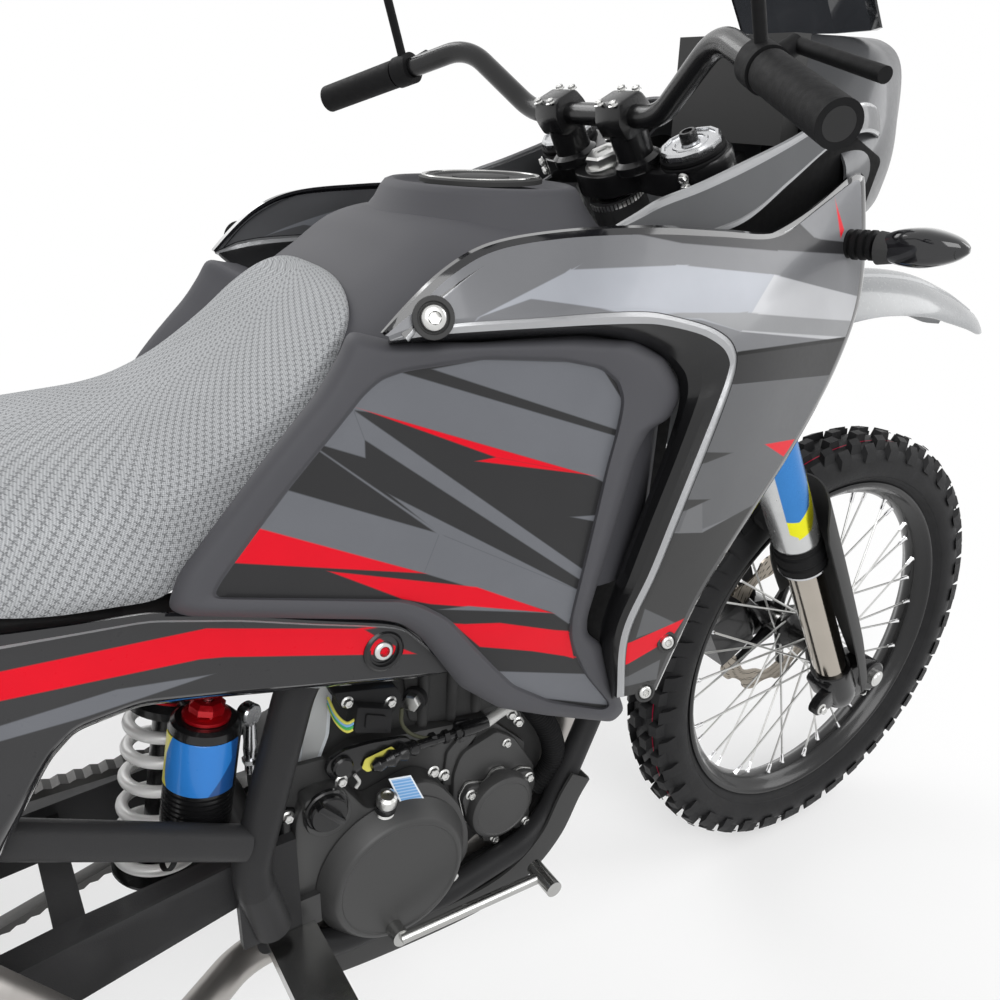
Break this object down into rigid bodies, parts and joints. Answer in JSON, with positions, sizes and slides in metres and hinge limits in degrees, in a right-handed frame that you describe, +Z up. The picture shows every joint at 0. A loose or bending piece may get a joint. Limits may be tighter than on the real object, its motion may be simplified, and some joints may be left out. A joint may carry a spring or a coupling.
{
  "type": "dual sport motorcycle",
  "caption": "Tall off-road motorcycle with knobby spoked wheels, long-travel fork, high fender, side fairings, slim seat and road lights, parked on its side stand.",
  "frame": {"origin": "middle of the parked motorcycle's bounding box, on the floor under the tyres and stand", "axes": "+X forward, +Y to the rider's left, +Z up; the machine leans towards +Y on its side stand"},
  "size_m": [2.185, 0.8168, 1.3949],
  "materials": {
    "bare_metal": "satin cast aluminium",
    "black_plastic": "matte black",
    "body_silver": "silver-grey metallic",
    "chrome": "hard chrome",
    "disc_steel": "ground steel",
    "engine_black": "matte black casting",
    "exhaust_steel": "satin steel",
    "fork_silver": "silver anodised",
    "frame_paint": "matte black powder coat",
    "grip_rubber": "ribbed rubber",
    "lens": "clear lens",
    "red_lens": "red lens",
    "rim_black": "satin black anodised",
    "screen": "smoked screen",
    "seat_cover": "light grey mesh cover",
    "spoke_steel": "bright steel",
    "spring_white": "gloss white",
    "tank_charcoal": "grained charcoal",
    "tyre": "knobby black rubber"
  },
  "bodies": {
    "chassis": {"chain": "disc_steel", "main_frame": "frame_paint", "subframe": "frame_paint", "engine": "engine_black", "cylinder_head": "engine_black", "clutch_cover": "engine_black", "generator_cover": "engine_black", "exhaust": "exhaust_steel", "radiators": "bare_metal", "skid_plate": "black_plastic", "fuel_tank": "tank_charcoal", "seat": "seat_cover", "side_fairings": "body_silver", "side_panels": "body_silver", "nose_cowl": "body_silver", "headlight": "lens", "windscreen": "screen", "dashboard": "black_plastic", "rear_fender": "black_plastic", "tail_light": "red_lens", "turn_signals": "black_plastic", "foot_controls": "bare_metal", "swingarm": "bare_metal", "rear_shock": "rim_black", "shock_spring": "spring_white", "rear_caliper": "rim_black"},
    "steering": {"triple_clamps": "rim_black", "fork_tubes": "fork_silver", "fork_legs": "chrome", "fork_guards": "black_plastic", "handlebar": "rim_black", "hand_controls": "grip_rubber", "front_fender": "body_silver", "front_caliper": "rim_black"},
    "front_wheel": {"front_tyre": "tyre", "front_rim": "rim_black", "front_spokes": "spoke_steel", "front_disc": "disc_steel"},
    "rear_wheel": {"rear_tyre": "tyre", "rear_rim": "rim_black", "rear_spokes": "spoke_steel", "rear_disc": "disc_steel", "rear_sprocket": "disc_steel"},
    "side_stand": {"side_stand": "frame_paint"},
    "fuel_cap": {"fuel_cap": "bare_metal"}
  },
  "joints": [
    {"name": "steering", "type": "hinge", "parent": "chassis", "child": "steering", "pos_m": [0.3534, -0.03782, 0.91084], "axis": [-0.4648, 0.1537, 0.8719], "range_deg": [-38, 38]},
    {"name": "front_wheel_spin", "type": "hinge", "parent": "steering", "child": "front_wheel", "pos_m": [0.74497, -0.13745, 0.34582], "axis": [0, 0.9848, -0.1736], "continuous": true},
    {"name": "rear_wheel_spin", "type": "hinge", "parent": "chassis", "child": "rear_wheel", "pos_m": [-0.75503, -0.13919, 0.33597], "axis": [0, 0.9848, -0.1736], "continuous": true},
    {"name": "stand_fold", "type": "hinge", "parent": "chassis", "child": "side_stand", "pos_m": [-0.08753, -0.00843, 0.27128], "axis": [0, 0.9659, 0.2588], "range_deg": [0, 95]},
    {"name": "cap_open", "type": "hinge", "parent": "chassis", "child": "fuel_cap", "pos_m": [0.05647, -0.01437, 1.04385], "axis": [0, -0.9848, 0.1736], "range_deg": [0, 95]}
  ]
}
